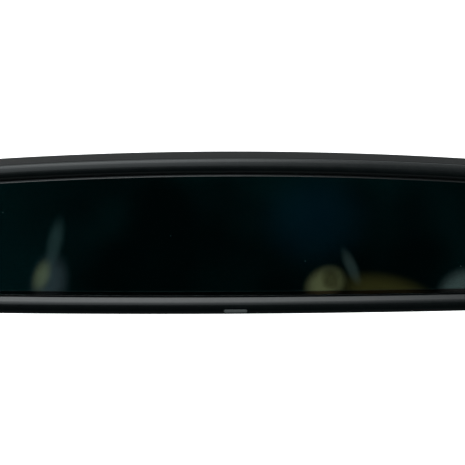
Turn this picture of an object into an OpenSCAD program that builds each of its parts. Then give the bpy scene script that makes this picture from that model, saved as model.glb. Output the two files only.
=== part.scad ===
// Interior rear-view mirror: auto-dimming head on a double-ball arm with a
// windshield foot. Millimetres, +Z up, the glass faces -Y. The origin is the
// centre of the adhesive face that bonds to the windshield.

/* [Mirror head] */
// Overall width of the head
head_w = 248; // [242:1:254]
// Overall height of the head
head_h = 66; // [65:0.5:68]
// Arch radius of the top edge
top_arch_r = 1600; // [1300:50:2000]
// Arch radius of the bottom edge
bottom_arch_r = 5500; // [4500:250:8000]
// Radius of the rounded ends
end_r = 125; // [110:5:150]
// Upper corner radius
top_corner_r = 22; // [20:1:24]
// Lower corner radius
bottom_corner_r = 17; // [16:1:19]

/* [Glass] */
// Thickness of each glass lite
lite_t = 2; // [1.8:0.1:2]
// Thickness of the dimming gel between the lites
gel_t = 0.3; // [0.2:0.05:0.3]
// Distance from the rim's outer edge to the edge of the glass
glass_inset = 5.7; // [5.6:0.05:5.8]

/* [Rear housing] */
// Depth from the glass plane to the flat back of the housing
back_y = 31; // [31:0.5:32]
// Wall thickness of the housing
wall = 2.4; // [2.2:0.1:2.6]
// Depth at which the walls start to round into the back
round_y = 19; // [18.5:0.5:20]
// Width of the flat back as a share of the head's width
flat_w = 0.62; // [0.6:0.01:0.66]
// Height of the flat back as a share of the head's height
flat_h = 0.44; // [0.42:0.01:0.48]

/* [Ball arm] */
// Radius of both balls
ball_r = 7; // [6.9:0.05:7]
// Distance between the ball centres
arm_len = 44; // [42:1:50]
// Downward tilt of the arm from the head to the foot
arm_tilt = 10; // [8:1:12]
// Distance from the glass plane to the head's ball centre
ball_stand = 43; // [43:0.5:45]
// Outer radius of the arm tube
tube_r = 10.3; // [10.2:0.1:10.5]

/* [Windshield foot] */
// Slope of the windshield from horizontal
glass_slope = 50; // [48:1:52]
// Distance from the foot's ball centre to the bracket's vertical face
foot_face = 13; // [12.5:0.5:14]
// Distance from the foot's ball centre to the pad's centre, front to back
foot_reach = 29; // [28.5:0.5:30]
// Width of the bracket at the windshield
bracket_w = 31; // [30:0.5:34]
// Length of the bonded button along the windshield
button_len = 30; // [28:1:30]
// Thickness of the adhesive pad
pad_t = 0.4; // [0.3:0.1:0.5]

/* [Hidden] */
$fn = 64;

// Stack of planes behind the front face of the glass, front to back
gel_y = lite_t;
rear_y = lite_t + gel_t;
stack_y = 2 * lite_t + gel_t;
shelf_y = 5.0;
carrier_y = 6.8;
board_y = 9.5;
board_t = 1.6;
plate_t = 2.2;
inner_y = back_y - wall;
plate_y = inner_y - 6;
skirt_d = wall + 0.2;
seat_in = ball_r + 0.05;
seat_out = ball_r + 1.2;
pocket_r = ball_r + 1.3;
bore_r = 6.5;

B = [0, ball_stand, 0];
A = [0, ball_stand + arm_len * cos(arm_tilt), -arm_len * sin(arm_tilt)];
P = [0, A[1] + foot_reach, 0];

// ---- outline of the head: eight tangent arcs, anticlockwise from the front
hw = head_w / 2;
hh = head_h / 2;
c_top = [0, hh - top_arch_r];
c_bot = [0, bottom_arch_r - hh];
c_end = [hw - end_r, -1];
function meet(c1, r1, c2, r2, s) =
    let (dx = c2[0] - c1[0], dz = c2[1] - c1[1], d = sqrt(dx*dx + dz*dz),
         a = (r1*r1 - r2*r2 + d*d) / (2*d), h = sqrt(r1*r1 - a*a))
    [c1[0] + a*dx/d - s*h*dz/d, c1[1] + a*dz/d + s*h*dx/d];
c_tr = meet(c_top, top_arch_r - top_corner_r, c_end, end_r - top_corner_r, -1);
c_br = meet(c_bot, bottom_arch_r - bottom_corner_r, c_end, end_r - bottom_corner_r, 1);
function ang(c, p) = atan2(p[1] - c[1], p[0] - c[0]);
a_top = ang(c_top, c_tr);
a_et = ang(c_end, c_tr);
a_eb = ang(c_end, c_br);
a_bot = ang(c_bot, c_br);
function arc_run(c, r, a0, a1, n) =
    [for (i = [0:n-1]) let (a = a0 + (a1 - a0) * i / n)
        [c[0] + r*cos(a), c[1] + r*sin(a), cos(a), sin(a)]];
n_end = 5; n_top = 12; n_bot = 8; n_tc = 8; n_bc = 7;
base = concat(
    arc_run(c_end, end_r, a_eb, a_et, n_end),
    arc_run(c_tr, top_corner_r, a_et, a_top, n_tc),
    arc_run(c_top, top_arch_r, a_top, 180 - a_top, n_top),
    arc_run([-c_tr[0], c_tr[1]], top_corner_r, 180 - a_top, 180 - a_et, n_tc),
    arc_run([-c_end[0], c_end[1]], end_r, 180 - a_et, 180 - a_eb, n_end),
    arc_run([-c_br[0], c_br[1]], bottom_corner_r, 180 - a_eb, 180 - a_bot, n_bc),
    arc_run(c_bot, bottom_arch_r, -180 - a_bot, a_bot, n_bot),
    arc_run(c_br, bottom_corner_r, a_bot, a_eb, n_bc));
n_base = len(base);
i_top = n_end + n_tc;
i_bot = n_end + n_tc + n_top + n_tc + n_end + n_bc;
function ring(d, y) = [for (p = base) [p[0] - d*p[2], y, p[1] - d*p[3]]];
function flat2(d) = [for (p = base) [p[0] - d*p[2], p[1] - d*p[3]]];
function band(d0, d1, i0, i1) = concat(
    [for (i = [i0:i1]) let (p = base[i]) [p[0] - d0*p[2], p[1] - d0*p[3]]],
    [for (i = [i1:-1:i0]) let (p = base[i]) [p[0] - d1*p[2], p[1] - d1*p[3]]]);

// ---- helpers
module skin(rings, closed = false) {
    n = len(rings[0]); m = len(rings);
    pts = [for (r = rings) each r];
    sides = [for (i = [0:(closed ? m-1 : m-2)], j = [0:n-1], k = [0:1])
        let (i2 = (i+1) % m, j2 = (j+1) % n)
        k == 0 ? [i*n+j, i*n+j2, i2*n+j2] : [i*n+j, i2*n+j2, i2*n+j]];
    caps = closed ? [] : [[for (j = [n-1:-1:0]) j], [for (j = [0:n-1]) (m-1)*n+j]];
    polyhedron(points = pts, faces = concat(sides, caps), convexity = 10);
}
module origin_at_pad() { translate(-P) children(); }
module upright(y0, y1) {
    rotate([90, 0, 0]) translate([0, 0, -y1]) linear_extrude(y1 - y0) children();
}
module rod(x, z, r, y0, y1, fn = 64) {
    translate([x, y1, z]) rotate([90, 0, 0]) cylinder(r = r, h = y1 - y0, $fn = fn);
}
module block(x, z, w, h, y0, y1) {
    translate([x - w/2, y0, z - h/2]) cube([w, y1 - y0, h]);
}
module rrect(w, h, r) {
    square([w - 2*r, h], center = true);
    square([w, h - 2*r], center = true);
    for (sx = [-1, 1], sy = [-1, 1])
        translate([sx*(w/2 - r), sy*(h/2 - r)]) circle(r = r, $fn = 32);
}
module on_arm() { translate(A) rotate([90 - arm_tilt, 0, 0]) children(); }
module on_glass() { translate(P) rotate([-glass_slope, 0, 0]) children(); }

// ---- head: rim, housing and glass
// Section of the rim as [inset from the outer edge, depth]: lip on the glass,
// bevel, front face, shoulder, parting step, skirt, glass pocket;
// and the share of opening_lift it takes: the opening sits a little above centre
opening_lift = 0.3;
bezel_profile = [[7.7, 0, 1], [7.7, -0.55, 1], [7.5, -0.6, 1], [7.2, -0.47, 1],
    [6.95, -0.31, 1], [6.85, -0.34, 1], [5.4, -1.66, 0.6], [4.9, -2.0, 0.4],
    [4.4, -2.22, 0.2], [3.9, -2.33, 0], [3.4, -2.33, 0], [2.5, -2.16, 0],
    [1.8, -1.9, 0], [1.1, -1.55, 0], [0.5, -1.18, 0], [0.17, -0.94, 0],
    [0, -0.7, 0], [0, 0.5, 0], [0.3, 0.8, 0], [skirt_d, 0.8, 0], [skirt_d, 8.0, 0],
    [4.5, 8.0, 0], [4.5, shelf_y, 0], [5.3, shelf_y, 0], [5.3, 0, 0]];
catch_x = [-78, -30, 30, 78];
// Height of the top (s = 1) or bottom (s = -1) edge at x, inset by d
function edge_z(x, d, s) = s > 0
    ? c_top[1] + sqrt(pow(top_arch_r - d, 2) - x*x)
    : c_bot[1] - sqrt(pow(bottom_arch_r - d, 2) - x*x);
module catches(w, y0, y1, d0, d1) {
    for (x = catch_x, s = [-1, 1])
        translate([x - w/2, y0, min(edge_z(x, d0, s), edge_z(x, d1, s))])
            cube([w, y1 - y0, abs(d1 - d0)]);
}
module front_bezel() color([0.06, 0.065, 0.065]) origin_at_pad() {
    skin([for (p = bezel_profile) [for (q = ring(p[0], p[1])) q + [0, 0, p[2]*opening_lift]]],
         closed = true);
    catches(8, 5.6, 7.2, skirt_d - 0.5, skirt_d + 0.6);
}

rim_y = 1.2;
// Walls run straight from the rim to round_y, then follow a quarter superellipse
function back_ring(d0, depth, f) =
    let (c = pow(cos(f), 0.84), s = pow(sin(f), 0.84))
    [for (p = base) [
        flat_w*p[0] + (p[0] - d0*p[2] - flat_w*p[0]) * c,
        round_y + depth * s,
        flat_h*p[1] + (p[1] - d0*p[3] - flat_h*p[1]) * c]];
n_round = 8;
housing_rings = concat(
    [for (k = [n_round:-1:1]) back_ring(wall + 0.6, inner_y - round_y, 90*k/n_round)],
    [ring(wall + 0.6, round_y), ring(wall + 0.1, 10), ring(wall, rim_y + 0.3),
     ring(wall - 0.2, rim_y), ring(0.3, rim_y), ring(0, rim_y + 0.35),
     ring(0.2, 10), ring(0.6, round_y)],
    [for (k = [1:n_round]) back_ring(0.6, back_y - round_y, 90*k/n_round)]);
boss_x = 25; boss_z = 10;
conn_x = 40; conn_z = -1;
lens_x = -42; lens_z = 3;
module rear_housing() color([0.09, 0.09, 0.09]) origin_at_pad()
    difference() {
        union() {
            skin(housing_rings);
            for (sx = [-1, 1], sz = [-1, 1])
                rod(sx*boss_x, sz*boss_z, 3.4, plate_y, inner_y + 0.8, 32);
        }
        catches(9, 5.3, 7.6, wall - 0.7, wall + 0.5);
        rod(0, 0, 7.4, inner_y - 3, back_y + 1);
        rod(lens_x, lens_z, 4.1, inner_y - 3, back_y + 1);
        block(conn_x, conn_z, 17.2, 10.2, inner_y - 6, back_y + 1);
        for (sx = [-1, 1], sz = [-1, 1])
            rod(sx*boss_x, sz*boss_z, 1.55, plate_y - 1, plate_y + 5.5, 32);
    }

module front_glass() color([0.03, 0.07, 0.08, 0.9]) origin_at_pad()
    upright(0, lite_t) polygon(flat2(glass_inset));
module ec_gel() color([0.35, 0.5, 0.45]) origin_at_pad()
    upright(gel_y, rear_y) polygon(flat2(glass_inset + 1.7));
module edge_seal() color([0.75, 0.75, 0.7]) origin_at_pad()
    upright(gel_y, rear_y) difference() {
        polygon(flat2(glass_inset + 0.2));
        polygon(flat2(glass_inset + 1.7));
    }
module rear_glass() color([0.6, 0.65, 0.66]) origin_at_pad()
    upright(rear_y, stack_y) polygon(flat2(glass_inset));

// Spring-metal strip round the edge of the rear lite, with a tab to the board
tab_x = -20; tab_z = 22.6;
clip_t = 0.3;
module bus_clip(i0, i1, s) {
    upright(rear_y + 0.1, stack_y + clip_t)
        polygon(band(glass_inset - 0.3, glass_inset - 0.05, i0, i1));
    upright(stack_y, stack_y + clip_t)
        polygon(band(glass_inset - 0.3, glass_inset + 2.4, i0, i1));
    translate([tab_x - 1.5, stack_y, s > 0 ? tab_z : -tab_z - 3])
        cube([3, clip_t, 3]);
    translate([tab_x - 1.5, stack_y, s > 0 ? tab_z : -tab_z - clip_t])
        cube([3, board_y + board_t - stack_y, clip_t]);
}
module bus_clip_top() color([0.72, 0.55, 0.35]) origin_at_pad()
    bus_clip(i_top + 2, i_top + n_top - 2, 1);
module bus_clip_bottom() color([0.72, 0.55, 0.35]) origin_at_pad()
    bus_clip(i_bot + 1, i_bot + n_bot - 1, -1);

glare_x = 22; glare_z = 15;
module tab_slots(y0, y1) {
    for (s = [-1, 1]) block(tab_x, s*(tab_z + 0.15), 4, 1.3, y0, y1);
}
module foam_pad() color([0.25, 0.25, 0.26]) origin_at_pad()
    difference() {
        upright(stack_y, shelf_y) polygon(flat2(glass_inset + 3.4));
        for (s = [-1, 1]) block(tab_x, s*(tab_z + 2), 4.5, 5.5, 0, 9);
        rod(glare_x, glare_z, 3, 0, 9, 32);
    }
post_x = 44; post_z = 14;
module glass_carrier() color([0.16, 0.16, 0.17]) origin_at_pad()
    difference() {
        union() {
            upright(shelf_y, carrier_y) polygon(flat2(5));
            for (sx = [-1, 1], sz = [-1, 1])
                rod(sx*post_x, sz*post_z, 3, carrier_y - 0.5, board_y, 32);
            for (sx = [-1, 1])
                block(sx*78, 0, 2, 40, carrier_y - 0.5, 12);
            for (sz = [-1, 1], sx = [-1, 1])
                block(sx*84, sz*20, 46, 2, carrier_y - 0.5, 11);
        }
        tab_slots(shelf_y - 1, carrier_y + 1);
        rod(glare_x, glare_z, 3, shelf_y - 1, carrier_y + 1, 32);
        for (sx = [-1, 1], sz = [-1, 1])
            rod(sx*post_x, sz*post_z, 1.05, carrier_y - 0.6, board_y + 1, 32);
    }

board_w = 108; board_h = 44;
module circuit_board() color([0.05, 0.3, 0.14]) origin_at_pad() {
    difference() {
        block(0, 0, board_w, board_h, board_y, board_y + board_t);
        for (sx = [-1, 1], sz = [-1, 1])
            rod(sx*post_x, sz*post_z, 1.3, board_y - 1, board_y + board_t + 1, 32);
        for (s = [-1, 1]) block(tab_x, s*(board_h/2), 4, 0.8, board_y - 1, board_y + 3);
    }
    // control chip, capacitors, coil and small chips, soldered down
    color([0.1, 0.1, 0.1]) block(18, -8, 12, 12, board_y + board_t - 0.1, board_y + board_t + 1.6);
    color([0.1, 0.1, 0.1]) block(0, 12, 8, 5, board_y + board_t - 0.1, board_y + board_t + 1.5);
    color([0.15, 0.15, 0.16]) block(-22, -10, 9, 9, board_y + board_t - 0.1, board_y + board_t + 3);
    color([0.6, 0.5, 0.25]) for (k = [0:3])
        block(-30 + 6*k, 6, 2.5, 1.4, board_y + board_t - 0.1, board_y + board_t + 1.2);
    color([0.55, 0.56, 0.6]) for (k = [0:1])
        rod(6 - 12*k, -16, 3, board_y + board_t - 0.1, board_y + board_t + 4.5, 32);
}
module glare_sensor() color([0.12, 0.12, 0.13]) origin_at_pad() {
    rod(glare_x, glare_z, 2.5, stack_y + 0.4, board_y - 1.2, 32);
    block(glare_x, glare_z, 4.6, 4.6, board_y - 1.3, board_y);
}
module ambient_sensor() color([0.12, 0.12, 0.13]) origin_at_pad() {
    block(lens_x, lens_z, 4.6, 4.6, board_y + board_t, board_y + board_t + 1.4);
    rod(lens_x, lens_z, 2.2, board_y + board_t + 1.3, board_y + board_t + 3.4, 32);
}
module ambient_sensor_lens() color([0.5, 0.5, 0.52, 0.6]) origin_at_pad() {
    rod(lens_x, lens_z, 4, inner_y - 0.2, back_y - 0.3);
    rod(lens_x, lens_z, 5.2, inner_y - 1.4, inner_y - 0.1);
    rod(lens_x, lens_z, 1.8, 16, inner_y - 1.3, 32);
}

// Plug socket on the board, its mouth flush with the housing's back
sock_w = 16; sock_h = 9; cav_w = 13.6; cav_h = 6.6;
sock_end = 31.3; sock_floor = 20.5; pin_end = 25.8;
module pin_grid(y0, y1, s) {
    for (i = [-2:2], k = [-1, 1])
        block(conn_x + 2.4*i, conn_z + 1.25*k, s, s, y0, y1);
}
module connector_socket() color([0.08, 0.08, 0.09]) origin_at_pad()
    difference() {
        union() {
            block(conn_x, conn_z, sock_w, sock_h, board_y + board_t, sock_end);
            block(conn_x, conn_z + sock_h/2, 4, 0.9, 24, sock_end);
        }
        block(conn_x, conn_z, cav_w, cav_h, sock_floor, sock_end + 1);
        pin_grid(board_y, sock_floor + 1, 0.64);
    }
module connector_pins() color([0.8, 0.65, 0.3]) origin_at_pad()
    pin_grid(board_y + board_t, pin_end, 0.64);

module stud_plate() color([0.62, 0.63, 0.65]) origin_at_pad()
    difference() {
        upright(plate_y - plate_t, plate_y) rrect(62, 30, 4);
        rod(0, 0, 4.05, plate_y - plate_t - 1, plate_y + 1);
        for (sx = [-1, 1], sz = [-1, 1])
            rod(sx*boss_x, sz*boss_z, 1.7, plate_y - plate_t - 1, plate_y + 1, 32);
    }
module screw(x, z, y_head, r, r_head, h_head, y_tip, slot) {
    // head towards -Y when y_tip > y_head
    s = sign(y_tip - y_head);
    difference() {
        union() {
            rod(x, z, r, min(y_head - s*0.2, y_tip), max(y_head - s*0.2, y_tip), 32);
            rod(x, z, r_head, min(y_head, y_head - s*h_head), max(y_head, y_head - s*h_head), 32);
        }
        for (a = [0, 90])
            translate([x, y_head - s*h_head, z]) rotate([0, a, 0])
                cube([slot*3.4, h_head*1.1, slot], center = true);
    }
}
module plate_screws() color([0.7, 0.7, 0.72]) origin_at_pad()
    for (sx = [-1, 1], sz = [-1, 1])
        screw(sx*boss_x, sz*boss_z, plate_y - plate_t, 1.5, 2.8, 1.8, plate_y + 5, 0.8);
module board_screws() color([0.7, 0.7, 0.72]) origin_at_pad()
    for (sx = [-1, 1], sz = [-1, 1])
        screw(sx*post_x, sz*post_z, board_y + board_t, 1, 2, 1.4, carrier_y - 0.5, 0.6);

// ---- ball studs, seats, arm
module head_ball_stud() color([0.72, 0.72, 0.7]) origin_at_pad() {
    translate(B) sphere(r = ball_r);
    rod(0, 0, 3, back_y, ball_stand - 3);
    rod(0, 0, 7, plate_y, back_y + 0.5);
    rod(0, 0, 4, plate_y - 8, plate_y + 0.5);
}
module stud_nut() color([0.66, 0.66, 0.68]) origin_at_pad()
    difference() {
        rod(0, 0, 7.5, plate_y - plate_t - 5, plate_y - plate_t, 6);
        rod(0, 0, 4.05, plate_y - plate_t - 6, plate_y - plate_t + 1);
    }

// Seats run about the arm's axis; h is measured from the ball's centre,
// positive towards the middle of the arm
module seat(h0, h1) {
    intersection() {
        difference() {
            sphere(r = seat_out);
            sphere(r = seat_in);
        }
        translate([0, 0, h0]) cylinder(r = seat_out + 2, h = h1 - h0);
    }
}
module at_foot_ball() { origin_at_pad() on_arm() children(); }
module at_head_ball() { origin_at_pad() on_arm() translate([0, 0, arm_len]) mirror([0, 0, 1]) children(); }
module foot_outer_seat() color([0.85, 0.84, 0.8]) at_foot_ball() seat(-2.6, -0.2);
module foot_inner_seat() color([0.85, 0.84, 0.8]) at_foot_ball() seat(2.5, 6.2);
module head_outer_seat() color([0.85, 0.84, 0.8]) at_head_ball() seat(-2.6, -0.2);
module head_inner_seat() color([0.85, 0.84, 0.8]) at_head_ball() seat(2.5, 6.2);

edge_r = 3;
end_h = 6.5;
module arm_tube() color([0.05, 0.05, 0.055]) at_foot_ball()
    difference() {
        rotate_extrude() {
            translate([0, -end_h]) square([tube_r - edge_r, arm_len + 2*end_h]);
            translate([0, edge_r - end_h]) square([tube_r, arm_len + 2*(end_h - edge_r)]);
            translate([tube_r - edge_r, edge_r - end_h]) circle(r = edge_r, $fn = 48);
            translate([tube_r - edge_r, arm_len + end_h - edge_r]) circle(r = edge_r, $fn = 48);
        }
        sphere(r = pocket_r);
        translate([0, 0, arm_len]) sphere(r = pocket_r);
        translate([0, 0, -end_h - 1]) cylinder(r = 6.5, h = arm_len + 2*end_h + 2);
    }
washer_h = 6.2; washer_t = 1;
module spring_washers() color([0.6, 0.6, 0.62]) at_foot_ball()
    for (h = [washer_h, arm_len - washer_h - washer_t])
        translate([0, 0, h]) difference() {
            cylinder(r = 6.2, h = washer_t);
            translate([0, 0, -1]) cylinder(r = 3.7, h = washer_t + 2);
        }

wire_r = 0.9; coil_r = 5.1; turns = 7; per_turn = 14; wire_n = 8;
coil_h0 = washer_h + washer_t + 0.05;
coil_len = arm_len - 2*coil_h0 - 2*wire_r;
lead = 2.05 * wire_r;
function coil_h(t) = t < 1 ? lead*t : t > turns - 1 ? coil_len - lead*(turns - t)
    : lead + (coil_len - 2*lead) * (t - 1) / (turns - 2);
module arm_spring() color([0.5, 0.5, 0.53]) at_foot_ball()
    skin([for (i = [0:turns*per_turn]) let (t = i/per_turn, a = 360*t)
        [for (j = [0:wire_n-1]) let (b = -360*j/wire_n, r = coil_r + wire_r*cos(b))
            [r*cos(a), r*sin(a), coil_h0 + wire_r + coil_h(t) + wire_r*sin(b)]]]);

// ---- foot
stud_end = 9.5;
module foot_ball_stud() color([0.72, 0.72, 0.7]) origin_at_pad() {
    translate(A) sphere(r = ball_r);
    rod(0, A[2], 3, A[1] + 3, A[1] + foot_face - 2);
    rod(0, A[2], 7, A[1] + foot_face - 2.5, A[1] + foot_face);
    rod(0, A[2], 4, A[1] + foot_face - 0.5, A[1] + foot_face + stud_end);
}
// Point on the foot's side view: s up the slope, d below the glass
function on_slope(s, d) = [P[1] - s*cos(90 - (90 - glass_slope)) - d*sin(glass_slope),
                           P[2] + s*sin(glass_slope) - d*cos(glass_slope)];
btn_free = 22.4; btn_glass = 19; btn_t = 4.6; btn_taper = 1.2;
module wedge(len0, len1, d0, d1, grow) {
    // len0 is the upper end, len1 the lower end, along the local +Y
    k = btn_taper / 15;
    w0 = btn_glass/2 + grow; w1 = btn_free/2 + grow;
    function half(d, u) = w0 + (w1 - w0) * (d - pad_t) / btn_t + k*u;
    pts = [for (u = [len0, len1], d = [d0, d1], s = [-1, 1]) [s*half(d, u), u, -d]];
    hull() polyhedron(points = pts, faces = [[0,1,3,2], [4,6,7,5], [0,4,5,1],
        [2,3,7,6], [0,2,6,4], [1,5,7,3]]);
}
screw_u = 9;
module foot_bracket() color([0.07, 0.07, 0.075]) origin_at_pad() {
    yb = A[1] + foot_face;
    side = [[yb, 2.5], [yb, A[2] - 7.5], [yb + 4, A[2] - 11], on_slope(-14, 11.5),
            on_slope(-14, 1), on_slope(16.5, 1), on_slope(16.5, 5.4), [yb + 1.5, 4]];
    difference() {
        intersection() {
            rotate([90, 0, 90]) translate([0, 0, -bracket_w/2])
                linear_extrude(bracket_w) polygon(side);
            translate([0, 0, -40]) linear_extrude(80)
                polygon([[-11, yb - 1], [11, yb - 1], [bracket_w/2, yb + 6],
                         [bracket_w/2, yb + 40], [-bracket_w/2, yb + 40],
                         [-bracket_w/2, yb + 6]]);
        }
        on_glass() wedge(-button_len/2 - 0.15, 30, pad_t - 0.6, pad_t + btn_t + 0.15, 0.1);
        rod(0, A[2], 4.05, yb - 1, yb + stud_end + 0.5);
        on_glass() translate([0, screw_u, -30]) cylinder(r = 2.55, h = 30 - pad_t - btn_t + 0.5);
    }
}
module set_screw() color([0.35, 0.35, 0.37]) origin_at_pad() on_glass()
    translate([0, screw_u, -pad_t - btn_t - 10]) difference() {
        cylinder(r = 2.5, h = 10);
        translate([0, 0, -1]) cylinder(r = 1.4, h = 4, $fn = 6);
    }
module windshield_button() color([0.45, 0.44, 0.42]) origin_at_pad() on_glass()
    wedge(-button_len/2, button_len/2, pad_t, pad_t + btn_t, 0);
module adhesive_pad() color([0.55, 0.55, 0.5]) origin_at_pad() on_glass()
    translate([0, 0, -pad_t]) linear_extrude(pad_t)
        rrect(btn_glass - 3, button_len - 2, 2);

front_bezel();
rear_housing();
front_glass();
ec_gel();
edge_seal();
rear_glass();
bus_clip_top();
bus_clip_bottom();
foam_pad();
glass_carrier();
circuit_board();
glare_sensor();
ambient_sensor();
ambient_sensor_lens();
connector_socket();
connector_pins();
stud_plate();
head_ball_stud();
stud_nut();
plate_screws();
board_screws();
head_outer_seat();
head_inner_seat();
arm_tube();
arm_spring();
spring_washers();
foot_inner_seat();
foot_outer_seat();
foot_ball_stud();
foot_bracket();
set_screw();
windshield_button();
adhesive_pad();
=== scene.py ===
import math

import bmesh
import bpy
import numpy as np
from mathutils import Matrix, Vector

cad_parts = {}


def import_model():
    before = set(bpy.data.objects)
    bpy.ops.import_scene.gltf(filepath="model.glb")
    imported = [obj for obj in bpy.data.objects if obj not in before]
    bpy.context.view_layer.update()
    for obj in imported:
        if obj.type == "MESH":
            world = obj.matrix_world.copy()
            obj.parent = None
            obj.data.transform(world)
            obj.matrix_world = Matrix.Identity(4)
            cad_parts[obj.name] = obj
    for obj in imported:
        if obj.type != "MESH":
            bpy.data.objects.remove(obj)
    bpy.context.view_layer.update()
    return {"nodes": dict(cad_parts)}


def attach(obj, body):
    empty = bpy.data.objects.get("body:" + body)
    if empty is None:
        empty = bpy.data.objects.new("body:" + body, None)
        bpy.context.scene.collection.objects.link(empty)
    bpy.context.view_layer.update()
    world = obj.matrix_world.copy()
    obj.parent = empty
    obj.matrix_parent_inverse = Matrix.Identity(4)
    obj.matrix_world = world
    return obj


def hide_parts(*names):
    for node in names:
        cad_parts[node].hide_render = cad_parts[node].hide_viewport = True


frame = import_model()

MM = 0.001

# ------------------------------------------------------------------ sizes
# The same driving sizes as the CAD model, in millimetres, glass plane at y = 0
HEAD_W, HEAD_H = 248.0, 66.0
TOP_R, BOTTOM_R, END_R = 1600.0, 5500.0, 125.0
TOP_CORNER, BOTTOM_CORNER = 22.0, 17.0
BACK_Y, WALL, ROUND_Y = 31.0, 2.4, 19.0
FLAT_W, FLAT_H = 0.62, 0.44
INNER_Y = BACK_Y - WALL
PLATE_Y = INNER_Y - 6
TILT = math.radians(10)
ARM = 44.0
STAND = 43.0
AY = STAND + ARM * math.cos(TILT)
AZ = -ARM * math.sin(TILT)
PY = AY + 29.0
SLOPE = math.radians(50)


def at(x, y, z):
    """A point given in the head's own millimetres, in the row frame in metres."""
    return (x * MM, (y - PY) * MM, z * MM)


# ---------------------------------------------------------------- outline
def meet(c1, r1, c2, r2, s):
    dx, dz = c2[0] - c1[0], c2[1] - c1[1]
    d = math.hypot(dx, dz)
    a = (r1 * r1 - r2 * r2 + d * d) / (2 * d)
    h = math.sqrt(r1 * r1 - a * a)
    return (c1[0] + a * dx / d - s * h * dz / d, c1[1] + a * dz / d + s * h * dx / d)


C_TOP = (0.0, HEAD_H / 2 - TOP_R)
C_BOT = (0.0, BOTTOM_R - HEAD_H / 2)
C_END = (HEAD_W / 2 - END_R, -1.0)
C_TR = meet(C_TOP, TOP_R - TOP_CORNER, C_END, END_R - TOP_CORNER, -1)
C_BR = meet(C_BOT, BOTTOM_R - BOTTOM_CORNER, C_END, END_R - BOTTOM_CORNER, 1)


def angle(c, p):
    return math.atan2(p[1] - c[1], p[0] - c[0])


def outline(n_end, n_top, n_bot, n_tc, n_bc):
    """Points and outward normals round the head, anticlockwise seen from the front."""
    a_top, a_et = angle(C_TOP, C_TR), angle(C_END, C_TR)
    a_eb, a_bot = angle(C_END, C_BR), angle(C_BOT, C_BR)
    pi = math.pi
    runs = [
        (C_END, END_R, a_eb, a_et, n_end),
        (C_TR, TOP_CORNER, a_et, a_top, n_tc),
        (C_TOP, TOP_R, a_top, pi - a_top, n_top),
        ((-C_TR[0], C_TR[1]), TOP_CORNER, pi - a_top, pi - a_et, n_tc),
        ((-C_END[0], C_END[1]), END_R, pi - a_et, pi - a_eb, n_end),
        ((-C_BR[0], C_BR[1]), BOTTOM_CORNER, pi - a_eb, pi - a_bot, n_bc),
        (C_BOT, BOTTOM_R, -pi - a_bot, a_bot, n_bot),
        (C_BR, BOTTOM_CORNER, a_bot, a_eb, n_bc),
    ]
    out = []
    for c, r, a0, a1, n in runs:
        for i in range(n):
            a = a0 + (a1 - a0) * i / n
            out.append((c[0] + r * math.cos(a), c[1] + r * math.sin(a), math.cos(a), math.sin(a)))
    return np.array(out)


BASE = outline(24, 72, 64, 30, 26)


def ring(d, y, base=None):
    b = BASE if base is None else base
    return np.stack([b[:, 0] - d * b[:, 2], np.full(len(b), float(y)), b[:, 1] - d * b[:, 3]], 1)


def back_ring(d0, depth, t):
    c, s = math.cos(t) ** 0.84 if t < math.pi / 2 - 1e-9 else 0.0, math.sin(t) ** 0.84
    b = BASE
    x = FLAT_W * b[:, 0] + (b[:, 0] - d0 * b[:, 2] - FLAT_W * b[:, 0]) * c
    z = FLAT_H * b[:, 1] + (b[:, 1] - d0 * b[:, 3] - FLAT_H * b[:, 1]) * c
    return np.stack([x, np.full(len(b), ROUND_Y + depth * s), z], 1)


def fillet(points, closed=False, step=14.0):
    """A polyline of (u, v, radius) with its corners rounded, as a list of (u, v)."""
    out = []
    n = len(points)
    for i, (u, v, r) in enumerate(points):
        if not closed and i in (0, n - 1) or r <= 0:
            out.append((u, v))
            continue
        p = Vector((u, v))
        a = Vector(points[i - 1][:2]) - p
        b = Vector(points[(i + 1) % n][:2]) - p
        la, lb = a.length, b.length
        a.normalize(), b.normalize()
        turn = math.pi - a.angle(b)
        if turn < 1e-3:
            out.append((u, v))
            continue
        t = min(r * math.tan(turn / 2), 0.499 * la, 0.499 * lb)
        r = t / math.tan(turn / 2)
        bis = (a + b).normalized()
        c = p + bis * (r / math.cos(turn / 2))
        s, e = p + a * t - c, p + b * t - c
        k = max(2, int(math.degrees(turn) / step) + 1)
        sign = 1 if s.x * e.y - s.y * e.x > 0 else -1
        a0 = math.atan2(s.y, s.x)
        for j in range(k + 1):
            g = a0 + sign * turn * j / k
            out.append((c.x + r * math.cos(g), c.y + r * math.sin(g)))
    return out


# ------------------------------------------------------------------ meshes
def new_object(name, bm, mats, body, sharp=35.0):
    bmesh.ops.remove_doubles(bm, verts=bm.verts, dist=1e-7)
    bmesh.ops.recalc_face_normals(bm, faces=bm.faces)
    me = bpy.data.meshes.new(name)
    bm.to_mesh(me)
    bm.free()
    for m in mats if isinstance(mats, (list, tuple)) else [mats]:
        me.materials.append(m)
    ob = bpy.data.objects.new(name, me)
    bpy.context.scene.collection.objects.link(ob)
    settle(ob, sharp)
    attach(ob, body)
    return ob


def add_rings(bm, rings, closed=False, mat=0):
    """Joins rings of points (head's millimetres) with quads. Returns the rings' vertices."""
    vs = [[bm.verts.new(at(*p)) for p in r] for r in rings]
    m, n = len(vs), len(vs[0])
    for i in range(m if closed else m - 1):
        i2 = (i + 1) % m
        for j in range(n):
            j2 = (j + 1) % n
            f = bm.faces.new((vs[i][j], vs[i2][j], vs[i2][j2], vs[i][j2]))
            f.material_index = mat
    return vs


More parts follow.
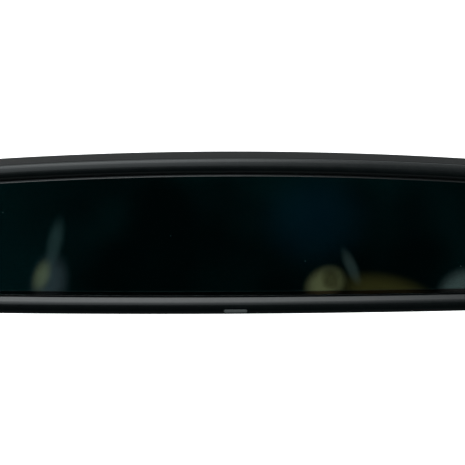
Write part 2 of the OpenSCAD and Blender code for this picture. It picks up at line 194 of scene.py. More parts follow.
def settle(ob, sharp):
    """Smooth shading that keeps flat faces flat: normals follow the larger faces."""
    me = ob.data
    for p in me.polygons:
        p.use_smooth = True
    me.set_sharp_from_angle(angle=math.radians(sharp))
    mod = ob.modifiers.new("Normals", "WEIGHTED_NORMAL")
    mod.mode = "FACE_AREA"
    mod.weight = 50
    mod.keep_sharp = True
    bpy.context.view_layer.update()
    done = bpy.data.meshes.new_from_object(
        ob.evaluated_get(bpy.context.evaluated_depsgraph_get()), preserve_all_data_layers=True,
        depsgraph=bpy.context.evaluated_depsgraph_get())
    ob.modifiers.clear()
    name = me.name
    ob.data = done
    bpy.data.meshes.remove(me)
    done.name = name


def loop_edges(bm, verts):
    out = []
    for i, v in enumerate(verts):
        w = verts[(i + 1) % len(verts)]
        e = bm.edges.get((v, w)) or bm.edges.new((v, w))
        out.append(e)
    return out


def fill(bm, loops, mat=0):
    """Fills a flat region bounded by an outer loop and any number of holes."""
    edges = [e for loop in loops for e in loop_edges(bm, loop)]
    got = bmesh.ops.triangle_fill(bm, edges=edges, use_dissolve=False, use_beauty=True)
    for g in got["geom"]:
        if isinstance(g, bmesh.types.BMFace):
            g.material_index = mat


def circle(x, z, r, n=48):
    return [(x + r * math.cos(2 * math.pi * i / n), z + r * math.sin(2 * math.pi * i / n)) for i in range(n)]


def rounded_rect(x, z, w, h, r, k=6):
    out = []
    for sx, sz, a0 in ((1, 1, 0), (-1, 1, 90), (-1, -1, 180), (1, -1, 270)):
        for i in range(k + 1):
            a = math.radians(a0 + 90 * i / k)
            out.append((x + sx * (w / 2 - r) + r * math.cos(a), z + sz * (h / 2 - r) + r * math.sin(a)))
    return out


def tube_wall(bm, shapes, closed=False, mat=0):
    """shapes: a list of (list of (x, z), y). Returns each ring's vertices."""
    return add_rings(bm, [[(x, y, z) for x, z in s] for s, y in shapes], closed, mat)


def lathe(bm, profile, origin, axis, n=72, mat=0):
    """profile: (radius, height) in millimetres along axis from origin (row frame, metres)."""
    z = Vector(axis).normalized()
    x = Vector((1, 0, 0))
    y = z.cross(x).normalized()
    o = Vector(origin)
    rows = []
    for r, h in profile:
        if r < 1e-6:
            rows.append([bm.verts.new(o + z * h * MM)])
        else:
            rows.append([
                bm.verts.new(o + (z * h + x * r * math.cos(2 * math.pi * i / n) + y * r * math.sin(2 * math.pi * i / n)) * MM)
                for i in range(n)])
    for a, b in zip(rows, rows[1:]):
        for i in range(n):
            j = (i + 1) % n
            if len(a) == 1 and len(b) == 1:
                continue
            if len(a) == 1:
                vs = (a[0], b[j], b[i])
            elif len(b) == 1:
                vs = (a[i], a[j], b[0])
            else:
                vs = (a[i], a[j], b[j], b[i])
            f = bm.faces.new(vs)
            f.material_index = mat
    return rows


def close_lathe(bm, rows, mat=0):
    a, b = rows[-1], rows[0]
    n = len(a)
    for i in range(n):
        j = (i + 1) % n
        f = bm.faces.new((a[i], a[j], b[j], b[i]))
        f.material_index = mat


def arc(r, a0, a1, n, c=(0.0, 0.0)):
    """Points (radius, height) of an arc whose angle is measured from the axis, in degrees."""
    return [(c[0] + r * math.sin(math.radians(a0 + (a1 - a0) * i / n)),
             c[1] + r * math.cos(math.radians(a0 + (a1 - a0) * i / n))) for i in range(n + 1)]


def bevelled(node, name, mats, body, width, segments=3, sharp=30.0, angle_limit=25.0):
    """A copy of a CAD node's mesh with its hard edges rounded, standing for the node."""
    src = frame["nodes"][node]
    bm = bmesh.new()
    bm.from_mesh(src.data)
    bmesh.ops.remove_doubles(bm, verts=bm.verts, dist=2e-6)
    bmesh.ops.dissolve_limit(bm, angle_limit=math.radians(1.0), verts=bm.verts, edges=bm.edges)
    me = bpy.data.meshes.new(name)
    bm.to_mesh(me)
    bm.free()
    ob = bpy.data.objects.new(name, me)
    bpy.context.scene.collection.objects.link(ob)
    mod = ob.modifiers.new("Edge", "BEVEL")
    mod.width = width * MM
    mod.segments = segments
    mod.limit_method = "ANGLE"
    mod.angle_limit = math.radians(angle_limit)
    mod.harden_normals = False
    mod.use_clamp_overlap = True
    bpy.context.view_layer.update()
    done = bpy.data.meshes.new_from_object(ob.evaluated_get(bpy.context.evaluated_depsgraph_get()))
    ob.modifiers.clear()
    ob.data = done
    done.name = name
    bm = bmesh.new()
    bm.from_mesh(done)
    bmesh.ops.dissolve_degenerate(bm, dist=2e-7, edges=bm.edges)
    bm.to_mesh(done)
    bm.free()
    done.materials.clear()
    for m in mats if isinstance(mats, (list, tuple)) else [mats]:
        done.materials.append(m)
    for p in done.polygons:
        p.material_index = 0
    bpy.data.meshes.remove(me)
    settle(ob, sharp)
    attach(ob, body)
    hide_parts(node)
    return ob


# --------------------------------------------------------------- materials
class Graph:
    def __init__(self, name):
        self.mat = bpy.data.materials.new(name)
        self.mat.use_nodes = True
        self.nt = self.mat.node_tree
        self.nt.nodes.clear()
        self.out = self.nt.nodes.new("ShaderNodeOutputMaterial")
        self.bsdf = self.nt.nodes.new("ShaderNodeBsdfPrincipled")
        self.link(self.bsdf.outputs[0], self.out.inputs[0])
        tc = self.nt.nodes.new("ShaderNodeTexCoord")
        self.obj = tc.outputs["Object"]

    def link(self, a, b):
        self.nt.links.new(a, b)

    def node(self, kind, **values):
        n = self.nt.nodes.new(kind)
        for k, v in values.items():
            setattr(n, k, v)
        return n

    def set(self, **values):
        for k, v in values.items():
            self.bsdf.inputs[k.replace("_", " ")].default_value = v

    def scaled(self, sx, sy, sz, rot=(0, 0, 0)):
        m = self.node("ShaderNodeMapping")
        m.inputs["Scale"].default_value = (sx, sy, sz)
        m.inputs["Rotation"].default_value = rot
        self.link(self.obj, m.inputs["Vector"])
        return m.outputs[0]

    def noise(self, scale, detail=2.0, rough=0.5, vector=None, distortion=0.0):
        n = self.node("ShaderNodeTexNoise")
        n.inputs["Scale"].default_value = scale
        n.inputs["Detail"].default_value = detail
        n.inputs["Roughness"].default_value = rough
        n.inputs["Distortion"].default_value = distortion
        self.link(vector or self.obj, n.inputs["Vector"])
        return n.outputs["Fac"]

    def cells(self, scale, vector=None, feature="F1"):
        n = self.node("ShaderNodeTexVoronoi", feature=feature)
        n.inputs["Scale"].default_value = scale
        self.link(vector or self.obj, n.inputs["Vector"])
        return n.outputs["Distance"]

    def remap(self, value, a, b, lo=0.25, hi=0.75):
        n = self.node("ShaderNodeMapRange")
        n.inputs["From Min"].default_value = lo
        n.inputs["From Max"].default_value = hi
        n.inputs["To Min"].default_value = a
        n.inputs["To Max"].default_value = b
        self.link(value, n.inputs["Value"])
        return n.outputs["Result"]

    def math(self, op, a, b=None, c=None):
        n = self.node("ShaderNodeMath", operation=op)
        for i, v in enumerate((a, b, c)):
            if v is None:
                continue
            if isinstance(v, (int, float)):
                n.inputs[i].default_value = v
            else:
                self.link(v, n.inputs[i])
        return n.outputs[0]

    def mix(self, fac, a, b):
        n = self.node("ShaderNodeMix", data_type="RGBA")
        self.link(fac, n.inputs["Factor"])
        for name, v in (("A", a), ("B", b)):
            s = [i for i in n.inputs if i.name == name and i.type == "RGBA"][0]
            if isinstance(v, tuple):
                s.default_value = (*v, 1.0) if len(v) == 3 else v
            else:
                self.link(v, s)
        return [o for o in n.outputs if o.type == "RGBA"][0]

    def bump(self, height, strength, distance, normal=None):
        n = self.node("ShaderNodeBump")
        n.inputs["Strength"].default_value = strength
        n.inputs["Distance"].default_value = distance
        self.link(height, n.inputs["Height"])
        if normal is not None:
            self.link(normal, n.inputs["Normal"])
        return n.outputs["Normal"]

    def colour(self, socket):
        self.link(socket, self.bsdf.inputs["Base Color"])

    def rough(self, socket):
        self.link(socket, self.bsdf.inputs["Roughness"])

    def normal(self, socket):
        self.link(socket, self.bsdf.inputs["Normal"])


def tint(c, k):
    return tuple(min(1.0, v * k) for v in c)


def grained(name, base, rough, grain_mm=0.45, grain_depth=0.02, strength=0.5, blotch=0.12,
            blotch_mm=9.0, rough_var=0.06, metallic=0.0, specular=0.5, coat=0.0, coat_rough=0.2):
    """Moulded, cast or painted surface: fine cells over a soft unevenness."""
    g = Graph(name)
    g.set(Metallic=metallic, Specular_IOR_Level=specular, Coat_Weight=coat, Coat_Roughness=coat_rough)
    big = g.noise(1.0 / (blotch_mm * MM), 3.0, 0.55)
    fine = g.noise(1.0 / (grain_mm * MM), 2.0, 0.6)
    cell = g.cells(0.8 / (grain_mm * MM))
    g.colour(g.mix(g.remap(big, 0.0, 1.0), tint(base, 1 - blotch), tint(base, 1 + blotch)))
    both = g.math("ADD", g.math("MULTIPLY", fine, 0.6), g.math("MULTIPLY", cell, 0.5))
    g.rough(g.remap(fine, rough - rough_var, rough + rough_var))
    g.normal(g.bump(both, strength, grain_depth * MM))
    return g.mat


def brushed(name, base, rough, stretch=(1, 1, 40), mm=0.35, metallic=1.0, depth=0.006, tarnish=0.15):
    g = Graph(name)
    g.set(Metallic=metallic)
    v = g.scaled(stretch[0] / (mm * MM * 20), stretch[1] / (mm * MM * 20), stretch[2] / (mm * MM * 20))
    lines = g.noise(1.0, 3.0, 0.6, v)
    big = g.noise(1.0 / (6 * MM), 3.0, 0.6)
    g.colour(g.mix(g.remap(big, 0.0, 1.0), tint(base, 1 - tarnish), tint(base, 1 + tarnish * 0.5)))
    g.rough(g.remap(lines, rough * 0.75, rough * 1.3))
    g.normal(g.bump(lines, 0.35, depth * MM))
    return g.mat


# -------------------------------------------------- materials of this object
def housing_material():
    """Matt moulded ABS with a fine spark-eroded grain and a little dust in it."""
    g = Graph("black_housing")
    g.set(Specular_IOR_Level=0.09)
    big = g.noise(1.0 / (26 * MM), 3.0, 0.55)
    fine = g.noise(1.0 / (0.42 * MM), 3.0, 0.62)
    cell = g.cells(1.0 / (0.55 * MM))
    dust = g.math("GREATER_THAN", g.noise(1.0 / (0.8 * MM), 1.0, 0.4), 0.735)
    tone = g.mix(g.remap(big, 0.0, 1.0), (0.0088, 0.0090, 0.0089), (0.0122, 0.0124, 0.0122))
    pits = g.mix(g.remap(cell, 0.0, 1.0, 0.0, 0.5), tone, (0.0180, 0.0182, 0.0180))
    g.colour(g.mix(g.math("MULTIPLY", dust, 0.35), pits, (0.11, 0.11, 0.105)))
    g.rough(g.remap(fine, 0.56, 0.72))
    both = g.math("ADD", g.math("MULTIPLY", fine, 0.55), g.math("MULTIPLY", cell, 0.6))
    g.normal(g.bump(both, 0.55, 0.035 * MM))
    return g.mat


MARK = (0.0, -PY * MM, -31.45 * MM)
MARK_X = -0.1


def bezel_material():
    """Satin black rim: finer grain, slight sheen, cool cast, a touch lighter in soft random patches."""
    g = Graph("black_bezel")
    g.set(Specular_IOR_Level=0.5)
    big = g.noise(1.0 / (7 * MM), 4.0, 0.6)
    mid = g.noise(1.0 / (1.6 * MM), 3.0, 0.6)
    fine = g.noise(1.0 / (0.3 * MM), 2.0, 0.55)
    base = g.mix(g.remap(big, 0.0, 1.0), (0.0052, 0.0066, 0.0070), (0.0084, 0.0100, 0.0104))
    base = g.mix(g.remap(mid, 0.0, 0.6), base, (0.0108, 0.0124, 0.0126))
    # a small plain pill printed on the lower rim
    sep = g.node("ShaderNodeSeparateXYZ")
    g.link(g.obj, sep.inputs[0])
    dx = g.math("MAXIMUM", g.math("SUBTRACT", g.math("ABSOLUTE", g.math("SUBTRACT", sep.outputs[0], MARK_X * MM)), 4.1 * MM), 0.0)
    dz = g.math("SUBTRACT", sep.outputs[2], MARK[2])
    far = g.math("SQRT", g.math("ADD", g.math("MULTIPLY", dx, dx), g.math("MULTIPLY", dz, dz)))
    pill = g.remap(far, 1.0, 0.0, 0.72 * MM, 0.80 * MM)
    front = g.math("LESS_THAN", sep.outputs[1], (0.5 - PY) * MM)
    ink = g.math("MULTIPLY", g.math("MULTIPLY", pill, front), g.remap(fine, 0.72, 1.0))
    g.colour(g.mix(ink, base, (0.34, 0.35, 0.345)))
    g.rough(g.math("ADD", g.remap(mid, 0.20, 0.27), g.math("MULTIPLY", ink, 0.2)))
    both = g.math("ADD", g.math("MULTIPLY", fine, 0.5), g.math("MULTIPLY", mid, 0.9))
    g.normal(g.bump(both, 0.32, 0.022 * MM))
    return g.mat


def glass_material():
    """Clear float glass with a few specks of dust and faint wipe marks."""
    g = Graph("clear_glass")
    g.set(IOR=1.52, Base_Color=(0.90, 0.97, 0.955, 1), Specular_IOR_Level=0.5)
    speck = g.cells(1.0 / (5.5 * MM))
    size = g.noise(1.0 / (4.0 * MM), 1.0, 0.5)
    dot = g.math("LESS_THAN", speck, g.remap(size, 0.0, 0.036, 0.52, 0.75))
    smear = g.noise(1.0, 4.0, 0.6, g.scaled(26, 26, 95, (0, 0.4, 0)))
    g.link(g.math("SUBTRACT", 1.0, g.math("MULTIPLY", dot, 0.5)), g.bsdf.inputs["Transmission Weight"])
    g.rough(g.math("ADD", g.math("MULTIPLY", dot, 0.3), g.remap(smear, 0.0, 0.012, 0.4, 0.8)))
    return g.mat


def matched_material():
    """A bonded face inside the glass stack: nothing is seen where glass meets gel."""
    g = Graph("bonded_face")
    g.set(Alpha=0.0)
    faint = g.noise(1.0 / (12 * MM), 2.0, 0.5)
    g.colour(g.mix(g.remap(faint, 0.0, 1.0), (0.82, 0.88, 0.86), (0.86, 0.9, 0.88)))
    return g.mat


def gel_material():
    """The dimming gel in its dark state: it tints what passes through it."""
    g = Graph("dimming_gel")
    g.nt.nodes.remove(g.bsdf)
    t = g.node("ShaderNodeBsdfTransparent")
    cloud = g.noise(1.0 / (30 * MM), 3.0, 0.5)
    g.link(g.mix(g.remap(cloud, 0.0, 1.0), (0.73, 0.80, 0.80), (0.77, 0.84, 0.84)), t.inputs[0])
    g.link(t.outputs[0], g.out.inputs[0])
    return g.mat


def mirror_material():
    """Silver-alloy reflector on the back of the rear lite."""
    g = Graph("mirror_glass")
    g.set(Metallic=1.0)
    cloud = g.noise(1.0 / (20 * MM), 3.0, 0.5)
    g.colour(g.mix(g.remap(cloud, 0.0, 1.0), (0.45, 0.50, 0.50), (0.50, 0.55, 0.55)))
    g.rough(g.remap(cloud, 0.0, 0.012))
    return g.mat


def board_material():
    """Green solder mask over tracks on a 1.3 mm pitch."""
    g = Graph("board_green")
    g.set(Specular_IOR_Level=0.5, Coat_Weight=0.3, Coat_Roughness=0.25)
    v = g.scaled(1 / (1.3 * MM), 1 / (1.3 * MM), 1 / (1.3 * MM))
    br = g.node("ShaderNodeTexBrick")
    br.inputs["Scale"].default_value = 1.0
    br.inputs["Mortar Size"].default_value = 0.07
    br.offset = 0.5
    g.link(g.scaled(1 / (2.6 * MM), 1 / (2.6 * MM), 1 / (1.3 * MM), (math.radians(90), 0, 0)), br.inputs["Vector"])
    n = g.noise(0.9, 2.0, 0.5, v)
    tracks = g.math("MULTIPLY", br.outputs["Fac"], g.remap(n, 0.0, 1.0, 0.45, 0.55))
    g.colour(g.mix(tracks, (0.010, 0.085, 0.030), (0.030, 0.19, 0.070)))
    g.rough(g.remap(n, 0.3, 0.42))
    g.normal(g.bump(tracks, 0.3, 0.03 * MM))
    return g.mat


def foam_material():
    g = Graph("grey_foam")
    g.set(Sheen_Weight=0.3)
    cell = g.cells(1.0 / (0.35 * MM))
    n = g.noise(1.0 / (3 * MM), 3.0, 0.6)
    g.colour(g.mix(g.remap(n, 0.0, 1.0), (0.045, 0.045, 0.047), (0.075, 0.075, 0.078)))
    g.rough(g.remap(cell, 0.85, 1.0, 0.0, 0.6))
    g.normal(g.bump(cell, 0.8, 0.12 * MM))
    return g.mat


def sintered_material():
    """Pressed and sintered steel: dull, speckled, lightly oxidised."""
    g = Graph("button_metal")
    g.set(Metallic=1.0)
    grain = g.noise(1.0 / (0.35 * MM), 3.0, 0.65)
    stain = g.noise(1.0 / (5 * MM), 4.0, 0.6)
    base = g.mix(g.remap(grain, 0.0, 1.0), (0.22, 0.215, 0.205), (0.36, 0.35, 0.335))
    g.colour(g.mix(g.remap(stain, 0.0, 0.55, 0.5, 0.75), base, (0.17, 0.145, 0.12)))
    g.rough(g.remap(grain, 0.42, 0.6))
    g.normal(g.bump(grain, 0.5, 0.02 * MM))
    return g.mat


def film_material():
    """Bonding film: a milky acrylic strip, slightly uneven."""
    g = Graph("bond_film")
    g.set(Subsurface_Weight=0.0, Specular_IOR_Level=0.5)
    n = g.noise(1.0 / (2.2 * MM), 4.0, 0.6)
    f = g.noise(1.0 / (0.25 * MM), 2.0, 0.5)
    g.colour(g.mix(g.remap(n, 0.0, 1.0), (0.33, 0.32, 0.28), (0.47, 0.46, 0.42)))
    g.rough(g.remap(f, 0.3, 0.5))
    g.normal(g.bump(g.math("ADD", n, g.math("MULTIPLY", f, 0.3)), 0.5, 0.03 * MM))
    return g.mat


def cast_material():
    """Cast zinc under black powder coat: orange peel, and a little bare metal on the edges."""
    g = Graph("black_zinc")
    peel = g.noise(1.0 / (0.9 * MM), 2.0, 0.5)
    fine = g.noise(1.0 / (0.22 * MM), 2.0, 0.6)
    big = g.noise(1.0 / (8 * MM), 3.0, 0.5)
    geo = g.node("ShaderNodeNewGeometry")
    edge = g.remap(geo.outputs["Pointiness"], 0.0, 1.0, 0.545, 0.60)
    worn = g.math("MULTIPLY", edge, g.remap(fine, 0.0, 1.0, 0.45, 0.62))
    base = g.mix(g.remap(big, 0.0, 1.0), (0.017, 0.017, 0.018), (0.026, 0.026, 0.027))
    g.colour(g.mix(g.math("MULTIPLY", worn, 0.5), base, (0.16, 0.16, 0.165)))
    g.rough(g.remap(peel, 0.38, 0.5))
    both = g.math("ADD", peel, g.math("MULTIPLY", fine, 0.3))
    g.normal(g.bump(both, 0.45, 0.045 * MM))
    return g.mat


def tube_material():
    """Moulded glass-filled nylon arm: satin black with faint flow along its length."""
    g = Graph("black_tube")
    g.set(Specular_IOR_Level=0.42)
    flow = g.noise(1.0, 3.0, 0.6, g.scaled(420, 60, 420, (math.radians(-10), 0, 0)))
    fine = g.noise(1.0 / (0.3 * MM), 2.0, 0.6)
    g.colour(g.mix(g.remap(flow, 0.0, 1.0), (0.017, 0.018, 0.018), (0.029, 0.030, 0.030)))
    g.rough(g.remap(flow, 0.38, 0.5))
    g.normal(g.bump(g.math("ADD", g.math("MULTIPLY", flow, 0.6), fine), 0.4, 0.02 * MM))
    return g.mat


def steel_material(name, base, rough, spin=True):
    """Turned and plated steel: fine rings along the turning axis, soft blotches in the plating."""
    g = Graph(name)
    g.set(Metallic=1.0)
    rings = g.noise(1.0, 2.0, 0.6, g.scaled(90, 4200, 90) if spin else g.scaled(600, 600, 600))
    blot = g.noise(1.0 / (4 * MM), 3.0, 0.55)
    g.colour(g.mix(g.remap(blot, 0.0, 1.0), tint(base, 0.86), tint(base, 1.06)))
    g.rough(g.remap(blot, rough * 0.8, rough * 1.3))
    g.normal(g.bump(rings, 0.25, 0.008 * MM))
    return g.mat


M = {
    "black_housing": housing_material(),
    "black_bezel": bezel_material(),
    "clear_glass": glass_material(),
    "bonded_face": matched_material(),
    "dimming_gel": gel_material(),
    "mirror_glass": mirror_material(),
    "epoxy_seal": grained("epoxy_seal", (0.006, 0.0065, 0.0065), 0.35, 0.5, 0.02, 0.3),
    "contact_strip": brushed("contact_strip", (0.62, 0.42, 0.22), 0.3, (1, 40, 1), 0.4),
    "grey_foam": foam_material(),
    "carrier_plastic": grained("carrier_plastic", (0.024, 0.024, 0.026), 0.5, 0.6, 0.03, 0.4),
    "board_green": board_material(),
    "sensor_black": grained("sensor_black", (0.014, 0.014, 0.015), 0.32, 0.35, 0.01, 0.3),
    "lens_smoke": None,
    "socket_black": grained("socket_black", (0.013, 0.013, 0.014), 0.42, 0.35, 0.015, 0.4, specular=0.45),
    "pin_tin": steel_material("pin_tin", (0.74, 0.70, 0.62), 0.26, False),
    "zinc_steel": steel_material("zinc_steel", (0.58, 0.59, 0.61), 0.34, False),
    "ball_steel": steel_material("ball_steel", (0.63, 0.64, 0.65), 0.2),
    "seat_nylon": grained("seat_nylon", (0.60, 0.585, 0.54), 0.42, 0.5, 0.02, 0.3, blotch=0.05),
    "black_tube": tube_material(),
    "spring_steel": brushed("spring_steel", (0.30, 0.29, 0.28), 0.32, (1, 1, 1), 0.4),
    "black_zinc": cast_material(),
    "screw_steel": steel_material("screw_steel", (0.17, 0.17, 0.18), 0.38, False),
    "button_metal": sintered_material(),
    "bond_film": film_material(),
}


def lens_material():
    """Smoked light pipe of the rear-facing sensor."""
    g = Graph("lens_smoke")
    g.set(IOR=1.49, Coat_Weight=0.6, Coat_Roughness=0.04, Transmission_Weight=0.25)
    n = g.noise(1.0 / (1.5 * MM), 3.0, 0.5)
    g.colour(g.mix(g.remap(n, 0.0, 1.0), (0.030, 0.026, 0.024), (0.050, 0.043, 0.040)))
    g.rough(g.remap(n, 0.10, 0.18))
    g.normal(g.bump(n, 0.15, 0.01 * MM))
    return g.mat


M["lens_smoke"] = lens_material()


# ------------------------------------------------------------------ pieces
def boxes(items):
    """A loose object of plain boxes (low corner, high corner in the head's millimetres)."""
    bm = bmesh.new()
    for lo, hi in items:
        vs = [bm.verts.new(at(x, y, z)) for x in (lo[0], hi[0]) for y in (lo[1], hi[1]) for z in (lo[2], hi[2])]
        for f in ((0, 1, 3, 2), (4, 6, 7, 5), (0, 4, 5, 1), (2, 3, 7, 6), (0, 2, 6, 4), (1, 5, 7, 3)):
            bm.faces.new([vs[i] for i in f])
    bmesh.ops.recalc_face_normals(bm, faces=bm.faces)
    me = bpy.data.meshes.new("tool")
    bm.to_mesh(me)
    bm.free()
    ob = bpy.data.objects.new("tool", me)
    bpy.context.scene.collection.objects.link(ob)
    return ob


def boolean(ob, tool, op, sharp=35.0):
    mod = ob.modifiers.new("cut", "BOOLEAN")
    mod.operation = op
    mod.solver = "EXACT"
    mod.object = tool
    bpy.context.view_layer.update()
    done = bpy.data.meshes.new_from_object(ob.evaluated_get(bpy.context.evaluated_depsgraph_get()))
    ob.modifiers.clear()
    old = ob.data
    ob.data = done
    done.name = old.name + "_cut"
    bpy.data.meshes.remove(old)
    bpy.data.objects.remove(tool)
    settle(ob, sharp)


def edge_z(x, d, s):
    if s > 0:
        return C_TOP[1] + math.sqrt((TOP_R - d) ** 2 - x * x)
    return C_BOT[1] - math.sqrt((BOTTOM_R - d) ** 2 - x * x)


def catches(w, y0, y1, d0, d1):
    out = []
    for x in (-78, -30, 30, 78):
        for s in (-1, 1):
            z0, z1 = sorted((edge_z(x, d0, s), edge_z(x, d1, s)))
            out.append(((x - w / 2, y0, z0), (x + w / 2, y1, z1)))
    return out


SKIRT = WALL + 0.2

# Rim: lip on the glass, bevel, rolled front, shoulder, parting step, skirt, pocket
bezel_profile = fillet([
    (7.48, 0, 0), (7.62, -0.655, 0.05), (7.24, -0.415, 0.35),
    (6.82, -0.31, 0.06), (6.72, -0.34, 0.06), (5.4, -1.66, 0.9), (4.9, -2.0, 1.2), (4.4, -2.22, 1.6),
    (3.9, -2.33, 2.0), (3.3, -2.33, 2.4), (2.5, -2.19, 3.0), (1.8, -1.97, 3.0), (1.1, -1.66, 2.6),
    (0.5, -1.32, 2.0), (0.14, -1.09, 0.15), (0, -0.88, 0.15), (0, 0.2, 0.08), (0.7, 0.4, 0.1),
    (SKIRT, 0.5, 0.15), (SKIRT, 8.0, 0.3), (4.5, 8.0, 0.3), (4.5, 5.0, 0.12), (5.3, 5.0, 0.12), (5.3, 0, 0)], True, 9.0)


def lift(d, y):
    """The opening sits a little above the middle of the rim, so the bevel's rings rise with it."""
    if y > 0.05 or d < 5.35 and y > -0.5:
        return 0.0
    return 0.3 * min(1.0, max(0.0, (d - 3.9) / 2.9))


bm = bmesh.new()
add_rings(bm, [ring(d, y) + np.array([0, 0, lift(d, y)]) for d, y in bezel_profile], closed=True)
bezel = new_object("rim_moulding", bm, M["black_bezel"], "head", 40.0)
boolean(bezel, boxes(catches(8, 5.6, 7.2, SKIRT - 0.5, SKIRT + 0.6)), "UNION", 40.0)
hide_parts("front_bezel")


# Rear housing: one closed shell, its flat back pierced for the stud, the lens and the plug
def housing():
    bm = bmesh.new()
    outer = fillet([(2.2, 1.2, 0), (0.3, 1.2, 0.12), (0, 1.55, 0.25), (0.05, 5.0, 0), (0.2, 10.0, 0),
                    (0.38, 14.5, 0), (0.6, 19.0, 0)], False, 15.0)
    inner = [(3.0, 19.0), (2.75, 14.5), (2.5, 10.0), (2.4, 1.5)]
    n = 22
    ts = [math.pi / 2 * (i / n) ** 1.08 for i in range(1, n + 1)]
    rings = [back_ring(3.0, INNER_Y - ROUND_Y, t) for t in reversed(ts[1::2])]
    rings += [ring(d, y) for d, y in inner]
    rings += [ring(d, y) for d, y in outer]
    rings += [back_ring(0.6, BACK_Y - ROUND_Y, t) for t in ts]
    vs = add_rings(bm, rings)
    inside, outside = vs[0], vs[-1]
    front_loops, back_loops = [], []

    def hole(shape_at, y_out, y_in, r=0.35, groove=None):
        """A pierced hole with a small radius at the outside and, where groove is given, a shallow
        moulded line that far round it; shape_at(grow) gives its outline."""
        rows = []
        if groove:
            rows = [(shape_at(groove + 0.62), y_out), (shape_at(groove + 0.52), y_out - 0.05),
                    (shape_at(groove + 0.40), y_out - 0.30), (shape_at(groove + 0.30), y_out - 0.35),
                    (shape_at(groove - 0.30), y_out - 0.35), (shape_at(groove - 0.40), y_out - 0.30),
                    (shape_at(groove - 0.52), y_out - 0.05), (shape_at(groove - 0.62), y_out)]
        steps = [(r * (1 - math.sin(a)), y_out - r * (1 - math.cos(a))) for a in
                 [math.pi / 2 * i / 4 for i in range(5)]]
        rows += [(shape_at(g), y) for g, y in steps] + [(shape_at(0), y_in + 0.15), (shape_at(0.15), y_in)]
        w = tube_wall(bm, rows)
        back_loops.append(w[0])
        front_loops.append(w[-1])

    hole(lambda g: circle(0, 0, 7.4 + g, 72), BACK_Y, INNER_Y, 0.5, 4.2)
    hole(lambda g: circle(-42, 3, 4.1 + g, 56), BACK_Y, INNER_Y, 0.4, 2.2)
    hole(lambda g: rounded_rect(40, -1, 17.2 + 2 * g, 10.2 + 2 * g, 0.25 + g, 6), BACK_Y, INNER_Y, 0.4, 2.2)
    for sx in (-1, 1):
        for sz in (-1, 1):
            cx, cz = sx * 25, sz * 10
            rows = [(circle(cx, cz, r, 40), y) for r, y in
                    ((3.75, INNER_Y), (3.5, INNER_Y - 0.1), (3.4, INNER_Y - 0.35), (3.4, PLATE_Y + 0.25),
                     (3.15, PLATE_Y), (1.8, PLATE_Y), (1.55, PLATE_Y + 0.25), (1.55, PLATE_Y + 5.5))]
            w = tube_wall(bm, rows)
            front_loops.append(w[0])
            bm.faces.new(w[-1])
    fill(bm, [outside] + back_loops)
    fill(bm, [inside] + front_loops)
    return bm


shell = new_object("rear_shell", housing(), M["black_housing"], "head", 42.0)
boolean(shell, boxes(catches(9, 5.3, 7.6, WALL - 0.7, WALL + 0.5)), "DIFFERENCE", 42.0)
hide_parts("rear_housing")


# Glass: two lites with ground edges, bonded through the gel
def lite(name, y0, y1, mats, node, front_mat, side_mat, back_mat):
    c = 0.3
    bm = bmesh.new()
    rows = [ring(5.7 + c, y0), ring(5.7 + 0.09, y0 + 0.09), ring(5.7, y0 + c),
            ring(5.7, y1 - c), ring(5.7 + 0.09, y1 - 0.09), ring(5.7 + c, y1)]
    vs = add_rings(bm, rows, mat=side_mat)
    a = bm.faces.new(vs[0])
    a.material_index = front_mat
    b = bm.faces.new(vs[-1])
    b.material_index = back_mat
    ob = new_object(name, bm, mats, "head", 12.0)
    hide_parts(node)
    return ob


front_lite = lite("front_lite", 0.02, 1.98, [M["clear_glass"], M["bonded_face"]],
                  "front_glass", 0, 0, 1)
rear_lite = lite("rear_lite", 2.32, 4.27, [M["bonded_face"], M["mirror_glass"]],
                 "rear_glass", 0, 0, 1)

# Rear-facing sensor's light pipe: domed front, collar and stem
bm = bmesh.new()
o = at(-42, 0, 3)
rows = lathe(bm, [(0, 30.7), (1.2, 30.68), (2.3, 30.6), (3.2, 30.44), (3.75, 30.2), (3.95, 29.9), (4.0, 29.6),
                  (4.0, 28.55), (4.05, 28.5), (5.05, 28.5), (5.2, 28.35), (5.2, 27.35), (5.05, 27.2),
                  (1.9, 27.2), (1.8, 27.0), (1.8, 16.2), (1.6, 16.0), (0, 16.0)], o, (0, 1, 0), 64)
lens = new_object("rear_sensor_lens", bm, M["lens_smoke"], "head", 40.0)
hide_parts("ambient_sensor_lens")


# Ball studs: ball, waisted neck, collar and a threaded shank
def stud(name, centre, sign, collar0, collar1, shank, body, node):
    """Heights run from the ball's centre towards the shank."""
    prof = [(0, -7.0)]
    prof += arc(7.0, 180, 27.5, 44)[1:]
    neck = fillet([(prof[-1][0], prof[-1][1], 0), (3.0, prof[-1][1] + 0.25, 0.4), (3.0, collar0, 0.8),
                   (7.0, collar0, 0.45), (7.0, collar1, 0.2), (4.0, collar1, 0.3), (4.0, collar1 + 1.2, 0)], False, 15)
    prof += neck[1:]
    h = collar1 + 1.3
    while h + 1.25 < shank - 0.8:
        prof += [(3.98, h), (3.45, h + 0.52), (3.45, h + 0.66), (3.98, h + 1.15)]
        h += 1.25
    prof += [(3.98, shank - 0.8), (3.2, shank), (0, shank)]
    bm = bmesh.new()
    lathe(bm, prof, centre, (0, sign, 0), 72)
    ob = new_object(name, bm, M["ball_steel"], body, 38.0)
    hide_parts(node)
    return ob


stud("head_ball", at(0, STAND, 0), -1, 11.5, 20.4, 28.4, "head", "head_ball_stud")
stud("foot_ball", at(0, AY, AZ), 1, 10.5, 13.0, 22.5, "foot", "foot_ball_stud")

